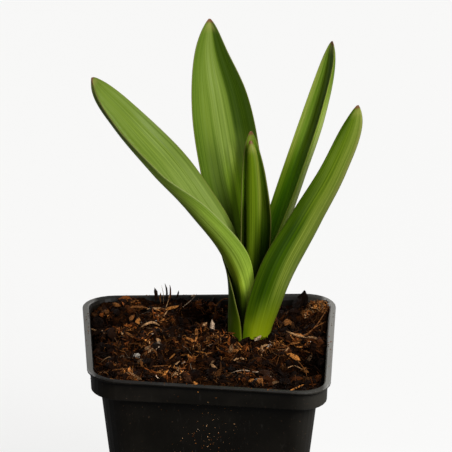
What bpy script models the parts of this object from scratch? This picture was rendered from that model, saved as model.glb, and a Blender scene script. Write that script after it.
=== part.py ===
"""Potted allium: six strap leaves that rise from potting soil in a square plastic nursery pot."""

import bmesh
import bpy
import numpy as np
from mathutils import Matrix, noise

# Lengths are in millimetres and angles in degrees, until a mesh is made in metres
MM = 0.001

# The pot: heights, half widths across the flats, and corner radii
POT_HEIGHT = 90.0
LIP_HALF = 45.0
LIP_WIDTH = 2.2
LIP_DEPTH = 1.2
LIP_CORNER = 12.0
LIP_INSIDE_CORNER = 10.2
COLLAR_HALF = 43.4
COLLAR_HEIGHT = 8.0
COLLAR_CORNER = 10.8
COLLAR_INSIDE_CORNER = 10.0
WALL_TOP_HALF = 39.9
WALL_BOTTOM_HALF = 29.0
BASE_CORNER = 8.0
WALL = 1.0
FLOOR = 2.2
FOOT_RISE = 0.9
FOOT_WIDTH = 3.0
PAD_HALF = 9.0
EDGE = 0.4
CORNER_SEGMENTS = 7
WALL_STEPS = 4

# The drain holes in the floor
DRAIN_COUNT = 8
DRAIN_RADIUS = 3.0
DRAIN_CIRCLE = 17.5
DRAIN_SEGMENTS = 16

# How far each corner of the soft rim is pushed out of square: sideways, back and up
RIM_PUSH = {
    (-1, 1): (-1.7, 0.0, 0.0),
    (1, 1): (1.4, 1.0, 0.6),
    (1, -1): (-1.6, -4.5, -1.7),
    (-1, -1): (1.2, 2.0, 1.6),
}
STIFF_HEIGHT = 5.0
PUSH_FADE = 1.5

# The soil
CLEARANCE = 0.3
SOIL_LEVEL = 86.2
SOIL_EDGE = 85.0
SOIL_SIDE_POINTS = 12
SOIL_RINGS = 17
SOIL_CROWDING = 0.9
SHELF_REACH = 5.5
SHELF_COVER = 1.3
CLOD_SIZE = 7.0
CLOD_HEIGHT = 1.5
CRUMB_SIZE = 3.2
CRUMB_HEIGHT = 0.7
CRUMB_LAYER = 5.0

# Heaps and hollows of the soil: x, y, height and radius
SOIL_SHAPE = (
    (14.5, 12.5, 2.2, 13.0),
    (-30.0, 42.0, 2.8, 13.0),
    (-8.0, 44.0, 2.6, 12.0),
    (38.0, 36.0, 2.8, 8.0),
    (-12.0, 0.0, 1.6, 14.0),
    (4.0, -26.0, 1.2, 20.0),
    (-37.0, 22.0, -2.0, 6.0),
    (-38.0, 4.0, -2.2, 7.0),
    (-3.0, 27.0, -3.0, 8.0),
    (28.0, 24.0, -2.4, 6.0),
    (35.0, -21.0, -4.6, 8.5),
)

# The plant: where its neck stands, and the foot of its leaves in their hole in the soil
NECK = (14.5, 12.5)
LEAF_FOOT = 73.0
HOLE_RADIUS = 8.4

# The blades
BLADE_THICK = 1.2
MARGIN_THICK = 0.7
BLADE_ROWS = 26
BLADE_COLUMNS = 10
TIP_CROWDING = 1.25
TIP_POWER = 1.4

# Each leaf starts as a sheath round the neck: its radius, the bearing of its midrib, half the angle
# that it wraps, and the height to which it stays there. Each row after that is one place up the
# blade: x, y and z of the midrib, half the width along the curve, half the angle that it is cupped
# through, and the bearing that its inner face looks to. Bearings go anticlockwise from +X.
LEAVES = {
    "leaf_back": (
        (7.3, 125, 116, 95),
        (11.8, 19.6, 106, 13.4, 86, -64),
        (11.4, 24.2, 118, 9.2, 42, -76),
        (7.0, 24.5, 148, 12.5, 46, -78),
        (3.0, 25.5, 173.5, 11.6, 44, -78),
        (0.0, 28.0, 192, 6.5, 42, -78),
        (0.0, 28.5, 203.8, 0.4, 28, -80),
    ),
    "leaf_front_right": (
        (7.3, -56, 55, 88),
        (21.0, 4.8, 99, 8.3, 46, 124),
        (26.2, 1.2, 116, 8.8, 42, 122),
        (36.0, -2.0, 137, 7.6, 40, 120),
        (45.5, -5.5, 157, 6.3, 38, 120),
        (52.2, -8.5, 176.5, 4.3, 34, 120),
        (53.5, -10.0, 184.8, 0.4, 28, 118),
    ),
    "leaf_left": (
        (5.7, 204, 101, 98),
        (8.8, 10.2, 109, 9.6, 96, 17),
        (4.8, 8.6, 120, 13.6, 80, 13),
        (-6.6, 6.2, 137.5, 14.6, 79, 2),
        (-19.4, 5.6, 154.5, 13.0, 70, -16),
        (-33.8, 5.4, 173, 10.2, 54, -15),
        (-41.8, 3.0, 186, 5.8, 46, -7),
        (-42.6, 1.4, 191, 0.4, 35, -5),
    ),
    "leaf_right_back": (
        (5.7, 24, 67, 98),
        (22.0, 14.2, 111, 9.0, 78, 199),
        (27.4, 17.0, 128.5, 8.8, 73, 201),
        (33.5, 19.0, 147.5, 8.6, 66, 204),
        (40.4, 22.0, 168, 8.6, 64, 203),
        (44.5, 24.0, 189, 5.0, 48, 205),
        (44.5, 24.0, 196.8, 0.4, 28, 210),
    ),
    "leaf_inner": (
        (4.0, 95, 105, 98),
        (15.8, 16.5, 118, 8.7, 97, -84),
        (16.5, 17.4, 131, 8.5, 91, -86),
        (16.0, 17.0, 147.8, 6.0, 80, -89),
        (15.2, 16.5, 159.5, 2.9, 62, -90),
        (15.0, 16.0, 165.0, 0.4, 46, -90),
    ),
    "leaf_heart": (
        (2.3, -85, 112, 98),
        (16.0, 10.0, 123, 4.5, 112, 93),
        (16.0, 10.8, 146, 4.5, 110, 92),
        (15.4, 11.6, 157.8, 2.6, 100, 92),
        (14.8, 12.4, 162.7, 0.4, 68, 92),
    ),
}

# Linear colour and roughness
FINISHES = {
    "pot": ((0.012, 0.012, 0.011), 0.5),
    "soil": ((0.030, 0.016, 0.009), 0.95),
    "leaf_back": ((0.085, 0.175, 0.024), 0.42),
    "leaf_front_right": ((0.070, 0.150, 0.026), 0.42),
    "leaf_left": ((0.100, 0.200, 0.030), 0.42),
    "leaf_right_back": ((0.090, 0.180, 0.030), 0.42),
    "leaf_inner": ((0.055, 0.125, 0.018), 0.42),
    "leaf_heart": ((0.080, 0.160, 0.022), 0.42),
}
SMOOTH_ANGLE = np.radians(35)


def clear_scene():
    for found in list(bpy.data.objects):
        bpy.data.objects.remove(found, do_unlink=True)


def new_collection(name):
    made = bpy.data.collections.new(name)
    bpy.context.scene.collection.children.link(made)
    return made


def finish(name):
    """The material of one piece."""
    colour, roughness = FINISHES[name]
    made = bpy.data.materials.new(name)
    made.use_nodes = True
    shader = made.node_tree.nodes["Principled BSDF"]
    shader.inputs["Base Color"].default_value = (*colour, 1.0)
    shader.inputs["Roughness"].default_value = roughness
    shader.inputs["Metallic"].default_value = 0.0
    made.diffuse_color = (*colour, 1.0)
    return made


def add_object(name, shape, collection):
    """An object from a bmesh drawn in millimetres."""
    bmesh.ops.transform(shape, matrix=Matrix.Scale(MM, 4), verts=shape.verts)
    mesh = bpy.data.meshes.new(name)
    shape.to_mesh(mesh)
    shape.free()
    made = bpy.data.objects.new(name, mesh)
    collection.objects.link(made)
    return made


def add_piece(name, shape, collection):
    """A visible, smooth-shaded piece with its own material."""
    made = add_object(name, shape, collection)
    made.data.shade_smooth()
    made.data.set_sharp_from_angle(angle=SMOOTH_ANGLE)
    made.data.materials.append(finish(name))
    return made


# Sections and lofts

def rounded_square(half, corner, side_points):
    """Points anticlockwise round a square with round corners, with more along each side."""
    middle = (half - corner) * np.sqrt(2)
    points = []
    for quarter in range(4):
        diagonal = np.radians(90 * quarter + 45)
        turn = diagonal + np.radians(np.linspace(-45, 45, CORNER_SEGMENTS + 1))
        centre = middle * np.array([np.cos(diagonal), np.sin(diagonal)])
        arc = centre + corner * np.stack([np.cos(turn), np.sin(turn)], axis=1)
        along = np.array([-np.sin(turn[-1]), np.cos(turn[-1])])
        shares = np.arange(1, side_points + 1) / (side_points + 1)
        side = arc[-1] + 2 * (half - corner) * shares[:, None] * along
        points.extend([*arc, *side])
    return np.array(points)


def loft(rings):
    """A closed body through rings of equal count, with its two ends capped."""
    shape = bmesh.new()
    loops = [[shape.verts.new(point) for point in ring] for ring in rings]
    for low, high in zip(loops, loops[1:]):
        for index in range(len(low)):
            after = (index + 1) % len(low)
            shape.faces.new((low[index], low[after], high[after], high[index]))
    shape.faces.new(loops[0])
    shape.faces.new(loops[-1])
    bmesh.ops.recalc_face_normals(shape, faces=shape.faces)
    return shape


def pushed(points):
    """Points of the pot, carried with the rim where it is out of square."""
    points = np.array(points, float)
    rise = np.clip((points[:, 2] - STIFF_HEIGHT) / (POT_HEIGHT - STIFF_HEIGHT), 0, None) ** PUSH_FADE
    side = np.clip(points[:, 0] / LIP_HALF, -1, 1)
    back = np.clip(points[:, 1] / LIP_HALF, -1, 1)
    moved = points.copy()
    for (corner_side, corner_back), push in RIM_PUSH.items():
        share = (1 + corner_side * side) * (1 + corner_back * back) / 4
        moved += (rise * share)[:, None] * np.array(push)
    return moved


def square_ring(half, height, corner, side_points):
    flat = rounded_square(half, corner, side_points)
    return pushed(np.column_stack([flat, np.full(len(flat), height)]))


# Pot

def wall_half(height):
    """Outer half width of the tapered wall."""
    collar_foot = POT_HEIGHT - COLLAR_HEIGHT
    return WALL_BOTTOM_HALF + (WALL_TOP_HALF - WALL_BOTTOM_HALF) * height / collar_foot


def wall_corner(height):
    return BASE_CORNER + (LIP_CORNER - BASE_CORNER) * height / POT_HEIGHT


def pot_profile():
    """Half width, height and corner radius, from the pad under the floor, out and over, to the inside."""
    collar_foot = POT_HEIGHT - COLLAR_HEIGHT
    lip_inside = LIP_HALF - LIP_WIDTH
    collar_inside = COLLAR_HALF - WALL
    recess_half = WALL_BOTTOM_HALF - FOOT_WIDTH
    profile = [
        (PAD_HALF, 0.0, PAD_HALF - EDGE),
        (PAD_HALF + EDGE, FOOT_RISE, PAD_HALF),
        (recess_half - EDGE, FOOT_RISE, BASE_CORNER - EDGE),
        (recess_half, 0.0, BASE_CORNER - EDGE),
        (WALL_BOTTOM_HALF - EDGE, 0.0, BASE_CORNER - EDGE),
    ]
    for height in np.linspace(EDGE, collar_foot - EDGE, WALL_STEPS + 1):
        profile.append((wall_half(height), height, wall_corner(height)))
    profile += [
        (COLLAR_HALF - EDGE, collar_foot, COLLAR_CORNER - EDGE),
        (COLLAR_HALF, collar_foot + EDGE, COLLAR_CORNER),
        (COLLAR_HALF, POT_HEIGHT - LIP_DEPTH - EDGE, COLLAR_CORNER),
        (LIP_HALF - EDGE, POT_HEIGHT - LIP_DEPTH, LIP_CORNER - EDGE),
        (LIP_HALF, POT_HEIGHT - LIP_DEPTH + EDGE, LIP_CORNER),
        (LIP_HALF, POT_HEIGHT - EDGE, LIP_CORNER),
        (LIP_HALF - EDGE, POT_HEIGHT, LIP_CORNER - EDGE),
        (lip_inside + EDGE, POT_HEIGHT, LIP_INSIDE_CORNER + EDGE),
        (lip_inside, POT_HEIGHT - EDGE, LIP_INSIDE_CORNER),
        (collar_inside, POT_HEIGHT - LIP_DEPTH - EDGE, COLLAR_INSIDE_CORNER),
        (collar_inside, collar_foot + WALL + EDGE, COLLAR_INSIDE_CORNER),
    ]
    for height in np.linspace(collar_foot + WALL - EDGE, FLOOR, WALL_STEPS + 1):
        profile.append((wall_half(height) - WALL, height, wall_corner(height) - WALL))
    return profile


def drain_cutter(index, collection):
    """A plain drill for one drain hole, longer than the floor is thick."""
    bearing = 2 * np.pi * index / DRAIN_COUNT
    shape = bmesh.new()
    place = Matrix.Translation((
        DRAIN_CIRCLE * np.cos(bearing), DRAIN_CIRCLE * np.sin(bearing), FLOOR / 2))
    bmesh.ops.create_cone(shape, cap_ends=True, segments=DRAIN_SEGMENTS, radius1=DRAIN_RADIUS,
                          radius2=DRAIN_RADIUS, depth=2 * FLOOR, matrix=place)
    cutter = add_object(f"drain_drill_{index}", shape, collection)
    cutter.hide_render = True
    cutter.display_type = "WIRE"
    return cutter


def add_pot(collection, cutters):
    rings = [square_ring(half, height, corner, 1) for half, height, corner in pot_profile()]
    pot = add_piece("pot", loft(rings), collection)
    for index in range(DRAIN_COUNT):
        drill = drain_cutter(index, cutters)
        cut = pot.modifiers.new(drill.name, "BOOLEAN")
        cut.operation = "DIFFERENCE"
        cut.solver = "EXACT"
        cut.object = drill


# Soil

def soil_height(x, y):
    """Height of the soil's rough top."""
    height = SOIL_LEVEL
    for heap_x, heap_y, rise, radius in SOIL_SHAPE:
        height += rise * np.exp(-((x - heap_x) ** 2 + (y - heap_y) ** 2) / radius ** 2)
    height += CLOD_HEIGHT * noise.noise((x / CLOD_SIZE, y / CLOD_SIZE, 0.0))
    height += CRUMB_HEIGHT * noise.noise((x / CRUMB_SIZE, y / CRUMB_SIZE, CRUMB_LAYER))
    return height


def add_soil(collection):
    """Soil from the floor to the top, with a plain round hole that the leaves stand in."""
    inner_step = POT_HEIGHT - COLLAR_HEIGHT + WALL
    inset = WALL + CLEARANCE
    top_half = COLLAR_HALF - inset
    top_corner = COLLAR_INSIDE_CORNER - CLEARANCE
    sides = [
        (wall_half(height) - inset, height, wall_corner(height) - inset)
        for height in np.linspace(FLOOR + CLEARANCE, inner_step - EDGE, WALL_STEPS + 1)
    ]
    sides.append((top_half, inner_step + EDGE + CLEARANCE, top_corner))
    rings = [square_ring(half, height, corner, SOIL_SIDE_POINTS) for half, height, corner in sides]
    flat = rounded_square(top_half, top_corner, SOIL_SIDE_POINTS)
    level = np.array([max(soil_height(x, y), SOIL_EDGE) for x, y in flat])
    edge = pushed(np.column_stack([flat, level]))
    bearings = np.arctan2(edge[:, 1] - NECK[1], edge[:, 0] - NECK[0])
    hole = HOLE_RADIUS * np.column_stack([np.cos(bearings), np.sin(bearings)]) + NECK
    rings.append(edge)
    for share in np.linspace(0, 1, SOIL_RINGS)[1:] ** SOIL_CROWDING:
        inner = edge[:, :2] * (1 - share) + hole * share
        tilt = (edge[:, 2] - level) * (1 - share)
        height = np.array([soil_height(x, y) for x, y in inner]) + tilt
        reach = np.linalg.norm(inner - edge[:, :2], axis=1)
        shelf = np.where(reach < SHELF_REACH, inner_step + SHELF_COVER + tilt, 0)
        rings.append(np.column_stack([inner, np.maximum(height, shelf)]))
    rings.append(np.column_stack([hole, np.full(len(hole), LEAF_FOOT - CLEARANCE)]))
    add_piece("soil", loft(rings), collection)


# Leaves

def smooth_through(knots, values, at):
    """Values at the knots joined by a cubic curve."""
    step = np.diff(knots)
    slope = np.diff(values, axis=0) / step[:, None]
    tangent = np.empty_like(values)
    before, after = step[:-1, None], step[1:, None]
    tangent[1:-1] = (slope[:-1] * after + slope[1:] * before) / (before + after)
    tangent[0], tangent[-1] = slope[0], slope[-1]
    piece = np.clip(np.searchsorted(knots, at, side="right") - 1, 0, len(step) - 1)
    width = step[piece][:, None]
    t = (at - knots[piece])[:, None] / width
    return (
        (1 + 2 * t) * (1 - t) ** 2 * values[piece]
        + t * (1 - t) ** 2 * width * tangent[piece]
        + t * t * (3 - 2 * t) * values[piece + 1]
        + t * t * (t - 1) * width * tangent[piece + 1]
    )


def stations(sheath, *blade):
    """The rows of one leaf from its foot to its tip."""
    radius, bearing, wrap, top = sheath
    x = NECK[0] + radius * np.cos(np.radians(bearing))
    y = NECK[1] + radius * np.sin(np.radians(bearing))
    facing = bearing + 180 if bearing <= 90 else bearing - 180
    foot = [(x, y, height, radius * np.radians(wrap), wrap, facing) for height in (LEAF_FOOT, top)]
    return np.array([*foot, *blade], float)


def blade_sheet(name):
    """Places [row, column] on the middle surface of a leaf."""
    rows = stations(*LEAVES[name])
    knots = np.append(0, np.cumsum(np.linalg.norm(np.diff(rows[:, :3], axis=0), axis=1)))
    at = knots[-1] * (1 - (1 - np.linspace(0, 1, BLADE_ROWS + 1)) ** TIP_CROWDING)
    rows[:, 3] **= TIP_POWER
    values = smooth_through(knots, rows, at)
    midrib, half = values[:, :3], values[:, 3] ** (1 / TIP_POWER)
    wrap, facing = np.radians(values[:, 4:]).T
    growth = np.gradient(midrib, at, axis=0)
    growth /= np.linalg.norm(growth, axis=1)[:, None]
    look = np.column_stack([np.cos(facing), np.sin(facing), np.zeros(len(at))])
    inward = look - (look * growth).sum(axis=1)[:, None] * growth
    inward /= np.linalg.norm(inward, axis=1)[:, None]
    across = np.cross(inward, growth)
    turn = wrap[:, None] * np.linspace(-1, 1, BLADE_COLUMNS + 1)
    radius = (half / wrap)[:, None]
    return (
        midrib[:, None]
        + (radius * np.sin(turn))[..., None] * across[:, None]
        + (radius * (1 - np.cos(turn)))[..., None] * inward[:, None]
    )


def add_leaf(name, collection):
    """A thin cupped blade, thickest along its midrib, from a grid laid on its middle surface."""
    places = blade_sheet(name)
    shape = bmesh.new()
    bmesh.ops.create_grid(shape, x_segments=BLADE_COLUMNS, y_segments=BLADE_ROWS, size=1.0)
    weights = shape.verts.layers.deform.verify()
    for vertex in shape.verts:
        column = round((vertex.co.x + 1) / 2 * BLADE_COLUMNS)
        row = round((vertex.co.y + 1) / 2 * BLADE_ROWS)
        vertex[weights][0] = 1 - (2 * column / BLADE_COLUMNS - 1) ** 2
        vertex.co = places[row, column]
    bmesh.ops.triangulate(shape, faces=shape.faces, quad_method="FIXED")
    leaf = add_piece(name, shape, collection)
    leaf.vertex_groups.new(name="midrib")
    thick = leaf.modifiers.new("thickness", "SOLIDIFY")
    thick.thickness = BLADE_THICK * MM
    thick.offset = 0
    thick.vertex_group = "midrib"
    thick.thickness_vertex_group = MARGIN_THICK / BLADE_THICK


def main():
    clear_scene()
    parts = new_collection("potted allium")
    cutters = new_collection("cutters")
    cutters.hide_render = True
    add_pot(parts, cutters)
    add_soil(parts)
    for name in LEAVES:
        add_leaf(name, parts)


main()
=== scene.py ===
"""The looks of a young bulb plant in a square nursery pot: veined leaves, crumbly soil, scuffed plastic."""

import bmesh
import bpy
import numpy as np
from mathutils import Matrix, Vector, noise


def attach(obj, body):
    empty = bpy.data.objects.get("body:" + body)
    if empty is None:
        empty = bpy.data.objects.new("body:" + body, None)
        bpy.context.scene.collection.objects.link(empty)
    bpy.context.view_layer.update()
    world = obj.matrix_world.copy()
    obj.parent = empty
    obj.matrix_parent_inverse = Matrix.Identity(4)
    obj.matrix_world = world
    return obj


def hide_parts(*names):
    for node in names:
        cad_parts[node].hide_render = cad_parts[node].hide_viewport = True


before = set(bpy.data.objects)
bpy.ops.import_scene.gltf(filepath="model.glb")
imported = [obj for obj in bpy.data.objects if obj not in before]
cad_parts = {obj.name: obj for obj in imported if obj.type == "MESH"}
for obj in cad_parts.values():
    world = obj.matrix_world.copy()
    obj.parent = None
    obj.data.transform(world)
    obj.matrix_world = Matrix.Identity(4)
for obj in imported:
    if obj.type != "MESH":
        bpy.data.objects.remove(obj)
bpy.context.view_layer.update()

# Lengths are in millimetres and angles in degrees, until a mesh is made in metres
MM = 0.001
SEED = 41

# The view: it looks along +Y and down, from far off, and frames this width
VIEW_ELEVATION = 21.0
VIEW_DISTANCE = 6500.0
VIEW_WIDTH = 163.53
VIEW_TARGET = (5.97, 0.0, 134.4)
SENSOR_WIDTH = 36.0
VIEW_END = 100000.0

# The pot, as the solid has it
POT_HEIGHT = 90.0
LIP_HALF = 45.0
COLLAR_HALF = 43.4
COLLAR_HEIGHT = 8.0
WALL_TOP_HALF = 39.9
WALL_BOTTOM_HALF = 29.0
STIFF_HEIGHT = 5.0
PUSH_FADE = 1.5

# How far each corner of the rim, given by its side and back, is pushed out of square
RIM_PUSH = {
    (-1, 1): (-1.7, 0.0, 0.0),
    (1, 1): (1.4, 1.0, 0.6),
    (1, -1): (-1.6, -4.5, -1.7),
    (-1, -1): (1.2, 2.0, 1.6),
}

# The soil's heaps and hollows, as the solid has them: x, y, height and radius
SOIL_HALF = 42.1
SOIL_CORNER = 9.7
SOIL_LEVEL = 86.2
SOIL_SHAPE = (
    (14.5, 12.5, 2.2, 13), (-30, 42, 2.8, 13), (-8, 44, 2.6, 12), (38, 36, 2.8, 8),
    (-12, 0, 1.6, 14), (4, -26, 1.2, 20), (-37, 22, -2, 6), (-38, 4, -2.2, 7),
    (-3, 27, -3, 8), (28, 24, -2.4, 6), (35, -21, -4.6, 8.5),
)

# Its clods and crumbs, as the solid has them, and finer grain: width, height and the noise's layer
CLODS = ((7.0, 1.5, 0.0), (3.2, 0.7, 5.0))
GRAIN = ((1.5, 0.75, 11.0), (0.7, 0.4, 17.0))

# Painted shadows beside the hollows: x, y and radius. The painted shade in these and in the hollows reaches
# so many radii
PAINTED_SHADE_REACH = 1.15
PAINTED_SHADOWS = (
    (39.5, -8, 6.5), (40, 8, 4.5), (38, -32, 5), (-40.5, 10, 4.5),
    (-40.5, -8, 4.5), (-40, 26, 4), (5, 24, 6), (25, -35, 6),
)
# Every place of painted shade: the hollows and the painted shadows
PAINTED_SHADE_PLACES = (*((x, y, radius) for x, y, rise, radius in SOIL_SHAPE if rise < 0), *PAINTED_SHADOWS)

# Loose bits sink towards the rear rim: from how far back, and by how much a millimetre
RIM_CLEAR = 35.0
RIM_DROP = 0.3

# Clumps: how many, radii, how far from the edge they keep, and how high and full they rise
CLUMP_COUNT = 48
CLUMP_RADII = (2.6, 6.0)
CLUMP_INSET = 4.0
CLUMP_RISE = 2.3
CLUMP_FULLNESS = 0.7

# The soil's bed: how many cells across, and its sides by share of the outline and height
SOIL_CELLS = 190
SOIL_SIDES = ((1.0, 84.2), (0.9, 83.6), (0.88, 74.0))

# The plant's neck, and where the leaves start inside it
NECK = (14.5, 12.5)
NECK_RADIUS = 7.6
LEAF_FOOT = 73.0

# Blades: thickness in the middle and at the margins, the margins' rounding, and how the tip thins
BLADE_THICK = 1.15
MARGIN_THICK = 0.5
MARGIN_ROUND = 0.35
MARGIN_SHARE = 0.2
MARGIN_STEPS = (0.0, 0.04, 0.175)
TIP_THIN = 4.0
TIP_LEAST = 0.03

# Their rows, how these crowd towards the tip, the power in which widths are joined, and the columns
BLADE_ROWS = 120
TIP_CROWDING = 1.25
TIP_POWER = 1.4
COLUMN_WIDTH = 0.22

# Their relief: depth, width, length and layer of flutes, ribs and the veins' drift, then the veins
# themselves, how near to margins and tip it fades, and where it starts above the foot
LEAF_WAVES = ((0.07, 6.0, 60.0, 0), (0.03, 1.7, 90.0, 20), (2.0, 4.0, 60.0, 40))
VEIN_DEPTH = 0.01
VEIN_WIDTH = 0.9
FADE_MARGIN = 2.5
FADE_TIP = 14.0
RELIEF_START = 8.0
RELIEF_RUN = 20.0

# What a blade's material reads at each point
LEAF_FACTS = ("across", "from_margin", "side", "along", "from_tip", "inner", "height")

# Stripes of veins, of the lines' drift, of bands and of grain: waves a millimetre across and along, layer
# and detail. Then how far apart the lines are, their drift in radians, and the layers from leaf to leaf
LEAF_STRIPES = ((1.5, 0.018, 0, 4.0), (0.5, 0.012, 5, 1.0), (0.33, 0.01, 9, 2.0), (7.0, 1.2, 0, 2.0))
LINE_SPACING = 0.95
LINE_DRIFT = 14.0
LEAF_LAYER = 3.7

# The leaves, with the solids' rows: a sheath's radius, bearing, wrap and top, then up the blade x, y,
# height, half width, wrap and facing
LEAVES = {
    "leaf_back": (
        (7.3, 125, 116, 95),
        (11.8, 19.6, 106, 13.4, 86, -64),
        (11.4, 24.2, 118, 9.2, 42, -76),
        (7, 24.5, 148, 12.5, 46, -78),
        (3, 25.5, 173.5, 11.6, 44, -78),
        (0, 28, 192, 6.5, 42, -78),
        (0, 28.5, 203.8, 0.4, 28, -80),
    ),
    "leaf_front_right": (
        (7.3, -56, 55, 88),
        (21, 4.8, 99, 8.3, 46, 124),
        (26.2, 1.2, 116, 8.8, 42, 122),
        (36, -2, 137, 7.6, 40, 120),
        (45.5, -5.5, 157, 6.3, 38, 120),
        (52.2, -8.5, 176.5, 4.3, 34, 120),
        (53.5, -10, 184.8, 0.4, 28, 118),
    ),
    "leaf_left": (
        (5.7, 204, 101, 98),
        (8.8, 10.2, 109, 9.6, 96, 17),
        (4.8, 8.6, 120, 13.6, 80, 13),
        (-6.6, 6.2, 137.5, 14.6, 79, 2),
        (-19.4, 5.6, 154.5, 13, 70, -16),
        (-33.8, 5.4, 173, 10.2, 54, -15),
        (-41.8, 3, 186, 5.8, 46, -7),
        (-42.6, 1.4, 191, 0.4, 35, -5),
    ),
    "leaf_right_back": (
        (5.7, 24, 67, 98),
        (22, 14.2, 111, 9, 78, 199),
        (27.4, 17, 128.5, 8.8, 73, 201),
        (33.5, 19, 147.5, 8.6, 66, 204),
        (40.4, 22, 168, 8.6, 64, 203),
        (44.5, 24, 189, 5, 48, 205),
        (44.5, 24, 196.8, 0.4, 28, 210),
    ),
    "leaf_inner": (
        (4, 95, 105, 98),
        (15.8, 16.5, 118, 8.7, 97, -84),
        (16.5, 17.4, 131, 8.5, 91, -86),
        (16, 17, 147.8, 6, 80, -89),
        (15.2, 16.5, 159.5, 2.9, 62, -90),
        (15, 16, 165, 0.4, 46, -90),
    ),
    "leaf_heart": (
        (2.3, -85, 112, 98),
        (16, 10, 123, 4.5, 112, 93),
        (16, 10.8, 146, 4.5, 110, 92),
        (15.4, 11.6, 157.8, 2.6, 100, 92),
        (14.8, 12.4, 162.7, 0.4, 68, 92),
    ),
}

# The foot's yellow-green and its heights, the lines' shade, the pale tip, and the browns
LEAF_BASE = (0.21, 0.265, 0.003)
BASE_HEIGHTS = (106.0, 90.0)
LINE_SHADE = (0.55, 0.6, 0.4)
TIP_PALE = (0.3, 0.29, 0.07)
MARGIN_BROWN = (0.19, 0.15, 0.045)
TIP_BROWN = (0.17, 0.062, 0.034)

# Looks of the leaves: dark and light green, how strongly they are lined, and patches of painted shade,
# painted shadow and painted sheen, some of them the leaf's own deeper or paler green: face, places across,
# heights and tint. A step goes from its first number to its second, and two steps bound a band
OUTER, INNER, BOTH = 0, 1, 2
LEAF_LOOKS_AND_PAINTED_LIGHT = {
    "leaf_back": ((0.082, 0.14, 0.01), (0.15, 0.218, 0.026), 0.24, (
        (INNER, (-0.27, -0.38), (142, 166), (0.28, 0.36, 0.16)),
        (INNER, (0.1, 0.35), (172, 150), (0.8, 0.82, 0.8)),
        (INNER, (0.08, 0.28, 0.72, 0.52), (164, 148), (0.68, 0.7, 0.72)),
        (INNER, (-0.03, -0.12, -0.3, -0.22), (159, 150), (2.1, 1.95, 2.2)),
        (INNER, (0.45, 0.95), (110, 130), (0.72, 0.8, 0.6)),
        (INNER, (-0.26, -0.1, 0.4, 0.15), (128, 150), (1.36, 1.26, 1.9)),
        (INNER, (0.3, 0.05), (156, 138), (1.5, 1.7, 0.6)),
        (INNER, (0.22, 0.45), (150, 128), (0.45, 0.52, 0.25)),
        (OUTER, (0.985, 0.94), (122, 112), (0.25, 0.32, 0.22)),
        (OUTER, (0.94, 0.985), (122, 112), (0.5, 0.55, 0.5)),
    )),
    "leaf_front_right": ((0.06, 0.118, 0.003), (0.142, 0.215, 0.012), 0.6, (
        (OUTER, (-0.25, -0.75), (92, 100, 168, 142), (0.4, 0.5, 0.22)),
        (OUTER, (-0.45, -0.9), (101, 90), (0.4, 0.54, 0.4)),
        (OUTER, (0.0, -0.3, -0.85, -0.6), (96, 110, 148, 132), (0.36, 0.5, 0.15)),
        (OUTER, (-0.4, 0.0, 1.0, 0.85), (98, 114), (1.68, 1.42, 3.0)),
        (OUTER, (0.3, 0.66, 0.94, 0.8), (124, 150), (1.75, 1.4, 3.2)),
        (OUTER, (-0.4, -0.8), (162, 180), (0.5, 0.6, 0.25)),
    )),
    "leaf_left": ((0.086, 0.14, 0.012), (0.158, 0.224, 0.032), 0.32, (
        (OUTER, (0.3, 0.6), (182, 146), (3.2, 3.2, 3.0)),
        (OUTER, (0.66, 0.3), (150, 128), (1.8, 1.85, 0.9)),
        (OUTER, (0.16, 0.44), (128, 112), (1.15, 1.1, 1.0)),
        (OUTER, (0.62, 0.44), (124, 110), (0.9, 0.85, 0.8)),
        (OUTER, (0.5, 0.28), (117, 106), (0.12, 0.14, 0.1)),
        (OUTER, (0.78, 0.55), (110, 103), (0.2, 0.24, 0.2)),
        (OUTER, (1.0, 0.82), (104, 98), (0.2, 0.24, 0.2)),
        (INNER, (-0.95, -0.8), (162, 145), (1.3, 1.22, 1.8)),
        (INNER, (-0.9, -1.0), (120, 135), (0.88, 0.86, 0.85)),
        (BOTH, (0.76, 0.95), (112, 126), (0.66, 0.68, 0.66)),
        (BOTH, (0.955, 0.985), (120, 135), (0.75, 0.72, 1.4)),
    )),
    "leaf_right_back": ((0.07, 0.128, 0.004), (0.128, 0.208, 0.012), 0.4, (
        (INNER, (0.4, 0.62), (146, 166), (2.3, 2.3, 3.6)),
        (INNER, (), (164, 142), (0.72, 1.05, 0.35)),
        (INNER, (0.35, 0.6), (150, 130), (0.5, 0.62, 0.5)),
        (INNER, (0.26, 0.05), (146, 170), (0.42, 0.54, 0.28)),
        (INNER, (0.7, 0.88), (110, 125), (1.5, 1.12, 2.4)),
        (INNER, (0.55, 0.75), (164, 150), (1.35, 1.15, 1.4)),
        (OUTER, (-0.3, -0.5), (106, 130, 196, 168), (2.1, 1.8, 4.6)),
        (OUTER, (-0.25, -0.45, -0.94, -0.78), (106, 130, 190, 162), (2.1, 1.75, 3.6)),
    )),
    "leaf_inner": ((0.06, 0.105, 0.003), (0.115, 0.18, 0.008), 0.4, (
        (INNER, (), (136, 118), (0.45, 0.45, 0.45)),
        (INNER, (0.0, -0.3), (140, 122), (0.4, 0.6, 0.45)),
        (INNER, (0.35, 0.55), (160, 148, 134, 143), (1.8, 2.0, 2.0)),
        (INNER, (0.5, 0.75), (142, 130), (0.42, 0.48, 0.35)),
        (INNER, (-0.3, -0.6), (136, 146), (1.5, 1.75, 1.8)),
        (BOTH, (0.86, 0.94), (100, 110), (0.55, 0.6, 0.75)),
        (BOTH, (-0.86, -0.94), (100, 110), (0.6, 0.65, 0.75)),
    )),
    "leaf_heart": ((0.075, 0.13, 0.003), (0.13, 0.195, 0.006), 0.5, (
        (OUTER, (-0.3, 0.25), (142, 119), (0.22, 0.26, 0.24)),
        (OUTER, (0.12, 0.35, 0.9, 0.7), (128, 142), (1.3, 1.08, 3.6)),
    )),
}

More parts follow.
